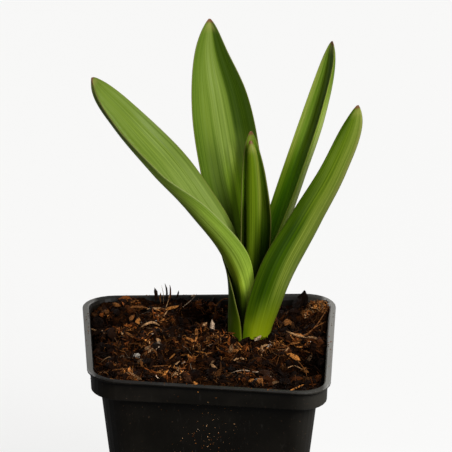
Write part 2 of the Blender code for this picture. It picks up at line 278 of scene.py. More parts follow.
# Linear colours of the soil's bits
BLACK = (0.003, 0.0017, 0.001)
UMBER = (0.018, 0.007, 0.003)
RUSSET = (0.16, 0.044, 0.008)
BROWN = (0.23, 0.086, 0.022)
OCHRE = (0.46, 0.175, 0.038)
TAN = (0.45, 0.245, 0.11)
BONE = (0.56, 0.4, 0.27)
CHALK = (0.64, 0.57, 0.49)
SOIL_COLOURS = (BLACK, UMBER, RUSSET, BROWN, OCHRE, TAN, BONE, CHALK)

# How often each of them is picked
CRUMB_SHARES = (20, 30, 28, 9, 2.2, 0.9, 0.3, 0.1)
CHIP_SHARES = (8, 22, 34, 20, 7.5, 3.4, 1.0, 0.2)
TUFT_SHARES = (0, 6, 20, 30, 26, 16, 2, 0)
FIBRE_SHARES = (4, 14, 34, 28, 13, 6, 2, 0)
DIRT_SHARES = (0, 12, 30, 30, 16, 8, 4, 0)
PATCH_SHARES = (0, 8, 12, 22, 14, 34, 10, 0)

# Linear colours of the peat with its painted shade, of the spots on its bits, and of the pot with its painted
# light and painted reflection
PEAT = ((0.003, 0.0013, 0.0007), (0.024, 0.009, 0.003))
PEAT_RUST = (0.07, 0.022, 0.006)
# The peat's colour in painted shade
PEAT_PAINTED_SHADE = (0.0015, 0.0008, 0.0005)
BIT_GRAIN = (0.006, 0.0022, 0.0008)
BIT_BLOTCH = (0.007, 0.0024, 0.0009)
PLASTIC = ((0.0028, 0.0022, 0.0013), (0.007, 0.0055, 0.0035))
SCUFF = (0.06, 0.055, 0.048)
# Painted light on the pot's right side, where the lamps fall
RIGHT_SIDE_PAINTED_LIGHT = (0.05, 0.046, 0.038)
LIP_BLOOM = (0.06, 0.06, 0.058)
# Dust on the lip's sides, with a painted reflection that is stronger on the right
LIP_DUST_AND_REFLECTION = (0.46, 0.45, 0.42)
DRY_SOIL = (0.2, 0.105, 0.055)

# Bits that can be told apart: x, y, lift above the soil, bearing, rise, length, width, thickness, colour
SLATS = (
    (-25.4, 31.8, 0.8, 0, 0, 7, 1.1, 0.7, BROWN),
    (-19, 32, 0.9, 1, 0, 6.6, 1.1, 0.7, TAN),
    (-13.4, 34, 0.7, 25, 8, 5.6, 1.5, 0.6, OCHRE),
    (-27.4, 26, 1, 60, 35, 3.4, 1.6, 0.7, BROWN),
    (-25.6, 20, 1.2, 70, 55, 3.6, 1.8, 1, OCHRE),
    (-22.3, -8.7, 0.7, 40, 25, 2.6, 1.9, 0.8, TAN),
    (-18.8, -7.6, 0.9, 70, 40, 3.4, 1.7, 0.5, BONE),
    (-18.6, -3.4, 0.9, 115, 35, 3.2, 1.4, 0.5, TAN),
    (-13.6, -13.4, 0.8, 58, 10, 4, 0.8, 0.5, OCHRE),
    (-12, -20.5, 0.8, 62, 8, 5.6, 0.6, 0.4, TAN),
    (-15.2, -22.6, 0.7, 48, 8, 3.8, 0.9, 0.4, OCHRE),
    (1, 13.2, 1.6, 85, 82, 5.6, 1.7, 0.8, BONE),
    (-1.6, 12, 0.6, 30, 30, 2.4, 1.5, 0.7, TAN),
    (-4.9, 9, 1.2, 75, 60, 4.4, 1.3, 0.6, BROWN),
    (1.8, -21, 0.7, -62, -4, 4.8, 1, 0.6, TAN),
    (17.6, 3.4, 0.8, 42, 22, 3.3, 1.8, 0.8, BONE),
    (20.2, -0.6, 0.7, 15, 15, 2.6, 1.2, 0.6, TAN),
    (22, -2.4, 0.7, 70, 25, 2.3, 1.3, 0.7, CHALK),
    (21.4, -3.8, 0.6, 10, 10, 1.6, 1, 0.6, OCHRE),
    (19.2, -3.4, 0.6, 95, 25, 2.4, 0.8, 0.5, TAN),
    (13.4, -5.4, 0.8, -60, -5, 4.6, 0.7, 0.5, BROWN),
    (9.6, -13, 0.6, 10, 5, 2.6, 1.3, 0.6, TAN),
    (12.1, -12.2, 0.6, 150, 8, 1.8, 1.2, 0.6, TAN),
    (32, 6.4, 1, -28, -6, 8.8, 1.2, 0.8, TAN),
    (15.6, -34.4, 0.7, 20, 20, 2.2, 1.4, 0.8, OCHRE),
    (31.4, -38.6, 1.1, 30, 14, 8.4, 0.8, 0.6, OCHRE),
    (27, -39.4, 0.9, -8, 0, 5.6, 0.7, 0.5, OCHRE),
    (-32, -28.2, 0.8, 12, 0, 6.8, 0.7, 0.5, BROWN),
    (-18, -20.5, 0.7, 8, 0, 6.2, 0.8, 0.4, BROWN),
    (33.9, 36.4, 1.6, 96, 80, 7.6, 3.6, 1.4, BLACK),
    (31.6, 34.6, 0.8, 60, 46, 6, 3.6, 1.4, BLACK),
    (-19.2, 40.4, 3.2, 100, 72, 5, 1.1, 0.7, UMBER),
    (-17.2, 40.6, 3, 85, 80, 4, 0.6, 0.5, BROWN),
    (-15.6, 40.4, 3.4, 100, 84, 6.6, 0.8, 0.6, UMBER),
    (-14, 40.6, 3.2, 84, 80, 5.6, 0.6, 0.5, RUSSET),
    (-11.2, 40.8, 2.4, 60, 60, 3, 0.6, 0.5, UMBER),
    (-5.6, 38.6, 2.2, 20, 12, 1.8, 1, 0.6, BONE),
    (-33, 34, 1.2, 160, 10, 3.2, 1.6, 0.9, BROWN),
)

# Lumps that can be told apart: x, y, lift above the soil, radius, colour
LUMPS = (
    (-26.4, -10.6, 0.8, 1.25, CHALK),
    (-5.2, -36.6, 0.6, 1, OCHRE),
    (-3.2, 22.8, 0.4, 1.3, BLACK),
    (28, 27.4, 0.6, 1.9, BROWN),
    (25, 24.6, 0.5, 1.4, UMBER),
    (38, 4.6, 0.6, 0.6, CHALK),
    (36.6, 2.4, 0.5, 0.45, CHALK),
    (38.6, 33.4, -0.1, 2.9, BROWN),
    (27, 19, 0.4, 1.8, UMBER),
)

# Roots that can be told apart: colour, thickness, then x, y and lift above the soil of each point
ROOTS = (
    (BONE, 0.48, (8, -25, 0.8), (12.1, -25.6, 1.9), (16.5, -28.2, 2.2), (21, -31, 2.2),
     (21.7, -33.6, 1.2)),
    (BROWN, 0.55, (10.4, 32, 4.2), (5.6, 32.6, 5.4), (2.6, 31.6, 3.4), (2.4, 30.4, 1.4),
     (5, 29.6, -0.2), (9.4, 30, 0.2)),
    (TAN, 0.95, (-24.4, 17.4, 1.3), (-22, 18.8, 1.7), (-20, 20.6, 2.1), (-17.8, 21.8, 1.6)),
    (TAN, 0.6, (-42.6, 18, 1.8), (-40.8, 15.4, 1.6), (-38.8, 12.4, 1.5), (-37.6, 9, 1.2)),
    (BROWN, 0.4, (41.6, 30, 2), (39, 22, 2.2), (36.4, 14.6, 1.8), (33, 8.4, 0.4)),
    (BROWN, 0.35, (41.8, 22, 2.6), (38, 18, 2), (34, 11.6, 1.4), (30, 9.4, 0.2)),
    (BROWN, 0.3, (31.2, -10, 1.2), (33.4, -12, 2), (35.2, -15.4, 2.2), (35.8, -18.6, 1.6)),
    (OCHRE, 0.3, (-38, -2, 0.8), (-35.2, 3, 1.8), (-32.4, 6, 0.8)),
    (TAN, 0.18, (-16.2, 40.6, 0), (-16.3, 41, 4.6), (-16.9, 41.6, 8)),
    (TAN, 0.3, (-16, 35, 0.4), (-14.8, 38.6, 1.6), (-13.8, 40.8, 3.8)),
    (BONE, 0.3, (-9.4, 36, 0.4), (-6.6, 37.6, 1.8), (-4.4, 39.6, 2.8)),
    (BROWN, 0.35, (-33.6, -7.6, 0.4), (-35.6, -3, 1.6), (-38.6, 1.6, 2.4)),
    (OCHRE, 0.4, (6, -9.6, 0.5), (3.4, -6.2, 1.2), (2.6, -2.4, 0.4)),
    (TAN, 0.3, (28, -14.6, 0.6), (31, -13.4, 1), (34, -13.8, 0.8)),
)

# How far random bits keep from the soil's edge, and the share of them that may lie off the clumps
SPOT_INSET = 0.8
LOOSE_SHARE = 0.4

# Pebbles' roughness: height and scale. Crumbs: count, smallest and largest radius, and level of detail
LUMP_NOISE = ((0.55, 1.2), (0.25, 2.9))
CRUMBS = ((260, 0.9, 2.3, 2), (1700, 0.35, 0.8, 1), (4200, 0.16, 0.36, 1))
CRUMB_LIFTS = (-0.2, 0.45)

# Splinters: rows and section. Chips: count, lengths, widths for their length, tilt and lift
SLAT_ROWS = 5
SLAT_SECTION = ((0, 1, 0.5), (0, 0.1, 1), (0, -1, 0.4), (0, -0.9, -0.5), (0, 0.2, -1), (0, 0.9, -0.6))
SLAT_LIFT = 0.6
CHIP_COUNT = 3200
CHIP_LENGTHS = (1.0, 6.5)
CHIP_WIDTHS = (0.06, 0.3)
CHIP_THICKNESSES = (0.2, 0.55)
CHIP_TILT = 32
CHIP_LIFTS = (0.0, 1.1)

# Fine roots, which turn by some radians at each step. None runs along the slanted direction
FIBRE_COUNT = 1150
FIBRE_LENGTHS = (1.5, 9.0)
FIBRE_RADII = (0.06, 0.16)
FIBRE_STEPS = 7
FIBRE_LIFTS = (0.0, 0.5)
FIBRE_ARCHES = (0.2, 1.6)
FIBRE_TURN = 0.45
SLANTED = (0.13, 0.21, 0.97)

# Grains on the pot: how many, one in how many on the lip. Then heights, spread, reach and radii
# on the wall, and inset, its shifts, reach and radii on the lip
DIRT_COUNT, LIP_EVERY = 260, 3
WALL_HEIGHTS, WALL_SPREAD, WALL_REACH, WALL_GRAINS = (8.0, 88.0), 11, 24, (0.1, 0.32)
LIP_INSET, LIP_SHIFTS, LIP_REACH, LIP_GRAINS = 1.1, (-0.9, 0.7), 30, (0.08, 0.26)

# A patch of grains on the front wall: count, x, height, spread across and up, and radii
DIRT_PATCH = (130, 0.5, 69.0, 6.0, 8.0)
PATCH_TOP = POT_HEIGHT - 2
PATCH_GRAINS = (0.06, 0.25)

# Shreds of a tuft: length, width, thickness and how far out they lie, and the tuft's form
SHRED_SIZES = ((0.8, 2.6), (0.15, 0.6), (0.15, 0.4))
TUFT_SHELL = (0.72, 1.05)
TUFT_FORM = (1.2, 1.0, 0.85)

# Fluffy tufts: x, y, lift above the soil, radius and how many shreds
TUFTS = (
    (38.6, 33.4, 0.4, 3.5, 420),
    (35, 31.2, 0, 2, 90),
    (24.5, 4.5, -0.6, 2.4, 110),
    (19, -4, -0.6, 2.4, 90),
    (2, 0.5, -0.4, 3, 130),
    (-5, -3, -0.6, 2.8, 100),
    (8.6, -3, -0.8, 2.4, 70),
)

# The studio: floor with half its width, world, and where the lamps aim
FLOOR_COLOUR = (0.12, 0.12, 0.119)
FLOOR_GLOW = 0.79
FLOOR_HALF = 6000.0
WORLD_SEEN = 0.94
WORLD_LIGHT = 0.1
LAMP_TARGET = (0.0, 0.0, 110.0)

# Softboxes: name, place, size and power
SOFTBOXES = (
    ("key", (740, -1170, 1180), 800, 40),
    ("front", (-250, -1500, 900), 700, 2),
    ("top", (200, 200, 1500), 900, 2),
    ("back_left", (-1150, 1250, 850), 900, 16),
    ("back_right", (950, 1350, 850), 900, 12),
)

# Colour sockets of a mix
MIX_LOW, MIX_HIGH, MIX_RESULT = 6, 7, 2


# Objects

def add_object(name, data):
    made = bpy.data.objects.new(name, data)
    bpy.context.scene.collection.objects.link(made)
    return made


def mesh_object(name, points, faces, material, smooth=True):
    """An object from points in millimetres and faces of equal count."""
    mesh = bpy.data.meshes.new(name)
    mesh.vertices.add(len(points))
    mesh.vertices.foreach_set("co", (points * MM).astype(np.float32).ravel())
    mesh.loops.add(faces.size)
    mesh.loops.foreach_set("vertex_index", faces.astype(np.int32).ravel())
    mesh.polygons.add(len(faces))
    mesh.polygons.foreach_set("loop_start", np.arange(0, faces.size, faces.shape[1], dtype=np.int32))
    mesh.polygons.foreach_set("use_smooth", np.full(len(faces), smooth))
    mesh.update(calc_edges=True)
    mesh.validate()
    mesh.materials.append(material)
    return add_object(name, mesh)


def set_values(made, name, values):
    """A number for each point of an object, which its material reads by name."""
    attribute = made.data.attributes.new(name, "FLOAT", "POINT")
    attribute.data.foreach_set("value", np.asarray(values, np.float32))


def settle(made, slot, *replaced):
    """Ties a piece to the part."""
    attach(made, "root")
    if replaced:
        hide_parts(*replaced)


# Materials

def opaque(colour):
    """A colour with its alpha, or a socket as it is."""
    return colour if isinstance(colour, bpy.types.NodeSocket) else (*colour, 1.0)


class Finish:
    """A material built from nodes, one step at a time."""

    def __init__(self, name):
        self.material = bpy.data.materials.new(name)
        self.material.use_nodes = True
        self.tree = self.material.node_tree
        self.shader = self.tree.nodes["Principled BSDF"]

    def put(self, socket, value):
        if isinstance(value, bpy.types.NodeSocket):
            self.tree.links.new(value, socket)
        else:
            socket.default_value = value

    def node(self, kind, **values):
        made = self.tree.nodes.new(kind)
        for name, value in values.items():
            self.put(made.inputs[name], value)
        return made

    def value(self, name, output="Fac"):
        made = self.node("ShaderNodeAttribute")
        made.attribute_name = name
        return made.outputs[output]

    def place(self):
        return self.node("ShaderNodeTexCoord").outputs["Object"]

    def parts(self, vector):
        return self.node("ShaderNodeSeparateXYZ", Vector=vector).outputs

    def math(self, operation, first, second=0.0):
        made = self.node("ShaderNodeMath")
        made.operation = operation
        self.put(made.inputs[0], first)
        self.put(made.inputs[1], second)
        return made.outputs[0]

    def both(self, first, second):
        return self.math("MULTIPLY", first, second)

    def vector(self, x, y, z):
        return self.node("ShaderNodeCombineXYZ", X=x, Y=y, Z=z).outputs[0]

    def noise(self, vector, scale, detail, roughness):
        made = self.node("ShaderNodeTexNoise", Vector=vector, Scale=scale, Detail=detail, Roughness=roughness)
        return made.outputs[0]

    def stripes(self, across, along, fine, coarse, seed, detail):
        """Noise drawn out along the blade: so many waves a millimetre across it and along it."""
        stretched = self.vector(self.both(across, fine), self.both(along, coarse), seed)
        return self.noise(stretched, 1.0, detail, 0.6)

    def share(self, value, start, end, low=0.0, high=1.0):
        """A smooth step from low at start to high at end."""
        limits = {"From Min": start, "From Max": end, "To Min": low, "To Max": high}
        made = self.node("ShaderNodeMapRange", Value=value, **limits)
        made.interpolation_type = "SMOOTHSTEP"
        return made.outputs["Result"]

    def mix(self, share, low, high, blend="MIX"):
        made = self.tree.nodes.new("ShaderNodeMix")
        made.data_type = "RGBA"
        made.blend_type = blend
        self.put(made.inputs[0], share)
        self.put(made.inputs[MIX_LOW], opaque(low))
        self.put(made.inputs[MIX_HIGH], opaque(high))
        return made.outputs[MIX_RESULT]

    def bump(self, height, depth, strength, under=None):
        """A relief of some millimetres' depth, over another one if there is one."""
        made = self.node("ShaderNodeBump", Height=height, Distance=depth * MM, Strength=strength)
        if under is not None:
            self.put(made.inputs["Normal"], under)
        return made.outputs["Normal"]

    def finish(self, colour, roughness, normal, specular):
        self.put(self.shader.inputs["Base Color"], opaque(colour))
        self.put(self.shader.inputs["Roughness"], roughness)
        self.put(self.shader.inputs["Specular IOR Level"], specular)
        if normal is not None:
            self.put(self.shader.inputs["Normal"], normal)
        return self.material


def leaf_finish(name, seed, dark, light, lined, patches):
    """Waxy green with fine veins, a yellow-green foot, pale margins, a red-brown tip, and patches of painted
    shade, shadow and sheen.
    """
    look = Finish(name)
    across, from_margin, side, along, from_tip, inner, height = (look.value(fact) for fact in LEAF_FACTS)
    veins, drift, bands, grain = (
        look.stripes(across, along, fine, coarse, seed + layer, detail)
        for fine, coarse, layer, detail in LEAF_STRIPES
    )
    phase = look.math("ADD", look.both(across, 2 * np.pi / LINE_SPACING), look.both(drift, LINE_DRIFT))
    lines = look.math("SINE", phase)
    bright, glint = (tuple(factor * part for part in light) for factor in (1.2, 1.5))
    colour = look.mix(look.share(veins, 0.32, 0.68), dark, light)
    colour = look.mix(look.share(bands, 0.35, 0.7, 0.0, 0.3), colour, bright)
    colour = look.mix(look.share(grain, 0.35, 0.75, 0.0, 0.12), colour, glint)
    colour = look.mix(look.share(lines, 0.0, 0.9, 0.0, lined), colour, LINE_SHADE, "MULTIPLY")
    colour = look.mix(look.share(height, *BASE_HEIGHTS, 0.0, 0.85), colour, LEAF_BASE)
    # Patches of painted shade, painted shadow and painted sheen, with some of the leaf's own deeper or paler
    # green
    for face, reach, heights, tint in patches:
        tone_and_painted_light_mask = look.share(height, *heights[:2])
        if face != BOTH:
            tone_and_painted_light_mask = look.both(tone_and_painted_light_mask, look.share(inner, 1 - face, face))
        for fact, step in ((side, reach[:2]), (side, reach[2:]), (height, heights[2:])):
            if step:
                tone_and_painted_light_mask = look.both(tone_and_painted_light_mask, look.share(fact, *step))
        colour = look.mix(tone_and_painted_light_mask, colour, tint, "MULTIPLY")
    pale = look.both(look.share(from_tip, 6.0, 2.2), look.share(from_margin, 0.3, 1.3))
    colour = look.mix(look.both(pale, 0.4), colour, TIP_PALE)
    colour = look.mix(look.share(from_margin, 0.3, 0.05, 0.0, 0.4), colour, MARGIN_BROWN)
    colour = look.mix(look.share(from_tip, 1.9, 0.5, 0.0, 0.9), colour, TIP_BROWN)
    roughness = look.share(veins, 0.3, 0.7, 0.46, 0.36)
    relief = look.bump(grain, 0.04, 0.3, look.bump(veins, 0.08, 0.4))
    return look.finish(colour, roughness, relief, look.share(bands, 0.42, 0.68, 0.05, 0.36))


def soil_finish():
    """Dark moist peat with rusty patches, and painted shade in the hollows and painted shadows."""
    look = Finish("peat")
    place = look.place()
    patches = look.noise(place, 260.0, 4.0, 0.6)
    grain = look.noise(place, 1900.0, 4.0, 0.7)
    colour = look.mix(look.share(grain, 0.35, 0.7), *PEAT)
    colour = look.mix(look.share(patches, 0.5, 0.72, 0.0, 0.7), colour, PEAT_RUST)
    # Painted shade in the hollows and the painted shadows
    colour = look.mix(look.share(look.value("painted_shade"), 0.1, 0.7, 0.0, 0.95), colour, PEAT_PAINTED_SHADE)
    return look.finish(colour, look.share(grain, 0.3, 0.7, 0.75, 0.98), look.bump(grain, 0.5, 0.9), 0.0)


def bits_finish():
    """Bark, roots and crumbs, each with its own tint."""
    look = Finish("bits")
    place = look.place()
    grain = look.noise(place, 1900.0, 4.0, 0.7)
    blotch = look.noise(place, 520.0, 3.0, 0.55)
    colour = look.mix(look.share(grain, 0.34, 0.62, 0.85, 0.0), look.value("tint", "Color"), BIT_GRAIN)
    colour = look.mix(look.share(blotch, 0.48, 0.66, 0.0, 0.6), colour, BIT_BLOTCH)
    return look.finish(colour, look.share(grain, 0.3, 0.7, 0.6, 0.95), look.bump(grain, 0.25, 0.8), 0.04)


def pot_finish():
    """Black moulded plastic, dusty on the lip and specked with dry soil, with painted light on its right side
    and a painted reflection on the lip's sides. Its places are in metres.
    """
    look = Finish("nursery_plastic")
    place = look.place()
    x, y, z = look.parts(place)
    facing_up = look.parts(look.node("ShaderNodeNewGeometry").outputs["Normal"])["Z"]
    haze = look.noise(place, 45.0, 4.0, 0.6)
    stretched = look.vector(look.both(x, 900.0), look.both(y, 900.0), look.both(z, 160.0))
    scuffs = look.noise(stretched, 1.0, 3.0, 0.7)
    specks = look.noise(place, 1300.0, 2.0, 0.5)
    drifts = look.noise(place, 70.0, 3.0, 0.6)
    colour = look.mix(look.share(haze, 0.35, 0.75), *PLASTIC)
    colour = look.mix(look.share(scuffs, 0.6, 0.8, 0.0, 0.25), colour, SCUFF)
    # Painted light: the right side lighter, where the lamps fall
    colour = look.mix(look.share(x, 0.028, 0.045, 0.0, 0.8), colour, RIGHT_SIDE_PAINTED_LIGHT)
    on_lip = look.both(look.share(facing_up, 0.35, 0.9), look.share(z, 0.0855, 0.0872))
    colour = look.mix(look.both(on_lip, look.share(drifts, 0.2, 0.8, 0.08, 0.26)), colour, LIP_BLOOM)
    # Dust and a painted reflection on the lip's sides, stronger on the right
    on_sides = look.both(on_lip, look.share(look.math("ABSOLUTE", x), 0.0405, 0.0425))
    colour = look.mix(look.both(on_sides, look.share(x, -0.04, 0.04, 0.2, 0.36)), colour, LIP_DUST_AND_REFLECTION)
    dirt = look.both(look.share(specks, 0.7, 0.76), look.share(drifts, 0.45, 0.7, 0.15, 1.0))
    colour = look.mix(dirt, colour, DRY_SOIL)
    relief = look.bump(scuffs, 0.04, 0.25, look.bump(dirt, 0.15, 0.6))
    return look.finish(colour, look.share(haze, 0.3, 0.75, 0.36, 0.52), relief, 0.18)


def floor_finish():
    """A pale floor that looks evenly lit, with a soft shadow under the pot."""
    look = Finish("pale_floor")
    seen = look.node("ShaderNodeLightPath").outputs["Is Camera Ray"]
    look.put(look.shader.inputs["Emission Color"], (1.0, 0.998, 0.99, 1.0))
    look.put(look.shader.inputs["Emission Strength"], look.both(seen, FLOOR_GLOW))
    return look.finish(FLOOR_COLOUR, 0.9, None, 0.1)


# Pot and soil shapes

def pushed(points):
    """Points of the pot, carried with the rim where it is out of square."""
    points = np.array(points, float)
    rise = np.clip((points[:, 2] - STIFF_HEIGHT) / (POT_HEIGHT - STIFF_HEIGHT), 0, None) ** PUSH_FADE
    side = np.clip(points[:, 0] / LIP_HALF, -1, 1)
    back = np.clip(points[:, 1] / LIP_HALF, -1, 1)
    moved = points.copy()
    for (corner_side, corner_back), push in RIM_PUSH.items():
        share = (1 + corner_side * side) * (1 + corner_back * back) / 4
        moved += (rise * share)[:, None] * np.array(push)
    return moved


def roughened(height, x, y, waves):
    for width, rise, layer in waves:
        height += rise * noise.noise((x / width, y / width, layer))
    return height


def soil_height(x, y):
    """Height of the soil's rough top, as the solid has it."""
    height = SOIL_LEVEL
    for heap_x, heap_y, rise, radius in SOIL_SHAPE:
        height += rise * np.exp(-((x - heap_x) ** 2 + (y - heap_y) ** 2) / radius ** 2)
    return roughened(height, x, y, CLODS)


def strewn_clumps():
    """The clumps at random: their places and radii."""
    draw = np.random.default_rng(SEED + 9)
    reach = SOIL_HALF - CLUMP_INSET
    across, back = draw.uniform(-reach, reach, CLUMP_COUNT), draw.uniform(-reach, reach, CLUMP_COUNT)
    return across, back, draw.uniform(*CLUMP_RADII, CLUMP_COUNT)


CLUMPS = strewn_clumps()


def clumped(x, y):
    """How much of a clump is at a place: 1 in its middle, 0 between the clumps."""
    across, back, radius = CLUMPS
    return float(np.clip(1 - ((x - across) ** 2 + (y - back) ** 2) / radius ** 2, 0, 1).max())


def clump_rise(x, y):
    return CLUMP_RISE * clumped(x, y) ** CLUMP_FULLNESS


def rim_drop(y):
    return RIM_DROP * max(0, y - RIM_CLEAR)


def in_painted_shade(x, y):
    """How deep in one of the places of painted shade a place is: 1 in its middle."""
    return max(
        np.exp(-((x - across) ** 2 + (y - back) ** 2) / (PAINTED_SHADE_REACH * radius) ** 2)
        for across, back, radius in PAINTED_SHADE_PLACES
    )


def grained_height(x, y):
    """Height of the soil's top with its clumps and finer grain."""
    return roughened(soil_height(x, y) + clump_rise(x, y), x, y, GRAIN)


def rounded_reach(directions):
    """How far the soil's outline is from the middle, towards each direction."""
    flat = np.abs(directions)
    long, short = flat.max(axis=1), flat.min(axis=1)
    inner = SOIL_HALF - SOIL_CORNER
    straight = SOIL_HALF / long
    length = np.hypot(long, short)
    middle = inner * (long + short) / length ** 2
    round_off = middle ** 2 - (2 * inner ** 2 - SOIL_CORNER ** 2) / length ** 2
    arc = middle + np.sqrt(np.maximum(round_off, 0))
    return np.where(straight * short <= inner, straight, arc)


def on_soil(x, y, lift):
    """A point above the soil's top in the pushed pot."""
    return pushed([(x, y, grained_height(x, y))])[0] + np.array([0, 0, lift])


def add_soil_bed(material):
    """The soil's rough top with its sides, on a grid fitted to the pot's round corners."""
    steps = np.linspace(-1, 1, SOIL_CELLS + 1)
    grid = np.stack(np.meshgrid(steps, steps, indexing="xy"), axis=-1).reshape(-1, 2)
    ring = np.abs(grid).max(axis=1)
    directions = grid / np.maximum(ring, 1e-9)[:, None]
    directions[ring == 0] = (1.0, 0.0)
    flat = directions * (rounded_reach(directions) * ring)[:, None]
    heights = [grained_height(x, y) for x, y in flat]
    points = pushed(np.column_stack([flat, heights]))
    width = SOIL_CELLS + 1
    corner = (np.arange(SOIL_CELLS)[:, None] * width + np.arange(SOIL_CELLS)).ravel()
    faces = [np.column_stack([corner, corner + 1, corner + 1 + width, corner + width])]
    index = np.arange(width)
    last = SOIL_CELLS * width
    rim = np.concatenate([
        index[:-1], index[:-1] * width + SOIL_CELLS, last + index[:0:-1], index[:0:-1] * width,
    ])
    after = np.roll(np.arange(len(rim)), -1)
    above = rim
    for share, height in SOIL_SIDES:
        ring = pushed(np.column_stack([flat[rim] * share, np.full(len(rim), height)]))
        below = len(points) + np.arange(len(rim))
        points = np.concatenate([points, ring])
        faces.append(np.column_stack([above[after], above, below, below[after]]))
        above = below
    half = len(rim) // 2
    first, second = np.arange(half - 1), len(rim) - 1 - np.arange(half - 1)
    faces.append(np.column_stack([below[first], below[second], below[second - 1], below[first + 1]]))
    bed = mesh_object("soil_bed", points, np.concatenate(faces), material)
    # The bed's sides get full painted shade
    sides = np.ones(len(points) - len(flat))
    set_values(bed, "painted_shade", np.append([in_painted_shade(x, y) for x, y in flat], sides))
    settle(bed, "soil", "soil")


# Small bits of the soil

class Bits:
    """Many small solids gathered into one mesh, each with its own tint."""

    def __init__(self):
        self.points, self.faces, self.tints, self.count = [], [], [], 0

    def add(self, points, faces, tint):
        self.points.append(points)
        self.faces.append(faces + self.count)
        self.tints.append(np.tile([*tint, 1.0], (len(points), 1)))
        self.count += len(points)

    def make(self, name, material, smooth):
        made = mesh_object(name, np.concatenate(self.points), np.concatenate(self.faces), material, smooth)
        tint = made.data.color_attributes.new("tint", "FLOAT_COLOR", "POINT")
        tint.data.foreach_set("color", np.concatenate(self.tints).astype(np.float32).ravel())
        settle(made, "soil")


def lump_shapes(subdivisions, count):
    """Rough pebbles of radius 1, as points and triangles."""
    shapes = []
    for index in range(count):
        ball = bmesh.new()
        bmesh.ops.create_icosphere(ball, subdivisions=subdivisions, radius=1.0)
        offset = Vector((7.3 * index, 3.1, 1.7))
        for vertex in ball.verts:
            broad, fine = (rise * noise.noise(vertex.co * scale + offset) for rise, scale in LUMP_NOISE)
            vertex.co *= 1 + broad + fine
        points = np.array([vertex.co[:] for vertex in ball.verts])
        faces = np.array([[vertex.index for vertex in face.verts] for face in ball.faces])
        ball.free()
        shapes.append((points, faces))
    return shapes


def turn_matrix(draw):
    """A random rotation."""
    quaternion = draw.normal(size=4)
    w, x, y, z = quaternion / np.linalg.norm(quaternion)
    return np.array([
        [1 - 2 * (y * y + z * z), 2 * (x * y - w * z), 2 * (x * z + w * y)],
        [2 * (x * y + w * z), 1 - 2 * (x * x + z * z), 2 * (y * z - w * x)],
        [2 * (x * z - w * y), 2 * (y * z + w * x), 1 - 2 * (x * x + y * y)],
    ])


def aimed(bearing, rise, roll):
    """The rotation that points +X along a bearing and up by the rise, rolled about itself."""
    turn = Matrix.Rotation(np.radians(bearing), 3, "Z") @ Matrix.Rotation(-np.radians(rise), 3, "Y")
    return np.array(turn @ Matrix.Rotation(np.radians(roll), 3, "X"))


def slat_shape(draw, length, width, thickness):
    """A splinter of bark along +X: bent, with rough sides and uneven, frayed ends."""
    along = np.linspace(-0.5, 0.5, SLAT_ROWS)
    swell = np.clip(1.0 - (2 * np.abs(along)) ** draw.uniform(2.5, 6.0), 0.12, None)
    bend = draw.uniform(-0.1, 0.1, 2) * length
    rings = []
    for place, wide in zip(along, swell):
        middle = np.array([place * length, *(bend * (1 - 4 * place ** 2))])
        ring = np.array(SLAT_SECTION) * [0, width / 2 * wide, thickness / 2 * (0.4 + 0.6 * wide)]
        ring = ring * draw.uniform(0.7, 1.25, (len(ring), 1))
        ring[:, 0] += draw.uniform(-0.04, 0.04, len(ring)) * length
        rings.append(middle + ring)
    return skin(rings)


def skin(rings):
    """A closed skin of triangles round rings of equal count."""
    sides = len(rings[0])
    points = np.concatenate(rings)
    index = np.arange(sides)
    after = np.roll(index, -1)
    faces = []
    for row in range(len(rings) - 1):
        low, high = row * sides, (row + 1) * sides
        faces.append(np.column_stack([low + index, low + after, high + after]))
        faces.append(np.column_stack([low + index, high + after, high + index]))
    fan = np.arange(1, sides - 1)
    faces.append(np.column_stack([0 * fan, fan + 1, fan]))
    faces.append(high + np.column_stack([0 * fan, fan, fan + 1]))
    return points, np.concatenate(faces)


def unit(rows):
    return rows / np.linalg.norm(rows, axis=1)[:, None]


def tube(path, radius, sides):
    """A root along a path, thinner towards its ends."""
    path = np.asarray(path, float)
    growth = unit(np.gradient(path, axis=0))
    side = unit(np.cross(growth, SLANTED))
    other = np.cross(growth, side)
    angles = np.linspace(0, 2 * np.pi, sides, endpoint=False)
    shares = np.linspace(-1, 1, len(path))
    rings = []
    for place, first, second, share in zip(path, side, other, shares):
        size = radius * (1 - 0.75 * abs(share) ** 3)
        rings.append(place + size * (np.cos(angles)[:, None] * first + np.sin(angles)[:, None] * second))
    return skin(rings)


def lengths_along(points):
    """How far along a path each of its points is."""
    return np.append(0, np.cumsum(np.linalg.norm(np.diff(points, axis=0), axis=1)))


def smooth_path(points, count):
    """A path through a few points, joined by a cubic curve."""
    points = np.asarray(points, float)
    knots = lengths_along(points)
    return smooth_through(knots, points, np.linspace(0, knots[-1], count))


def free_spot(draw):
    """A random place on the soil that isn't under the plant's neck, more often on a clump."""
    while True:
        x, y = draw.uniform(-SOIL_HALF + SPOT_INSET, SOIL_HALF - SPOT_INSET, 2)
        if draw.random() > LOOSE_SHARE + (1 - LOOSE_SHARE) * clumped(x, y):
            continue
        over = np.maximum(np.abs([x, y]) - (SOIL_HALF - SOIL_CORNER), 0)
        in_pot = np.hypot(*over) < SOIL_CORNER - SPOT_INSET
        if in_pot and np.hypot(x - NECK[0], y - NECK[1]) > NECK_RADIUS:
            return x, y


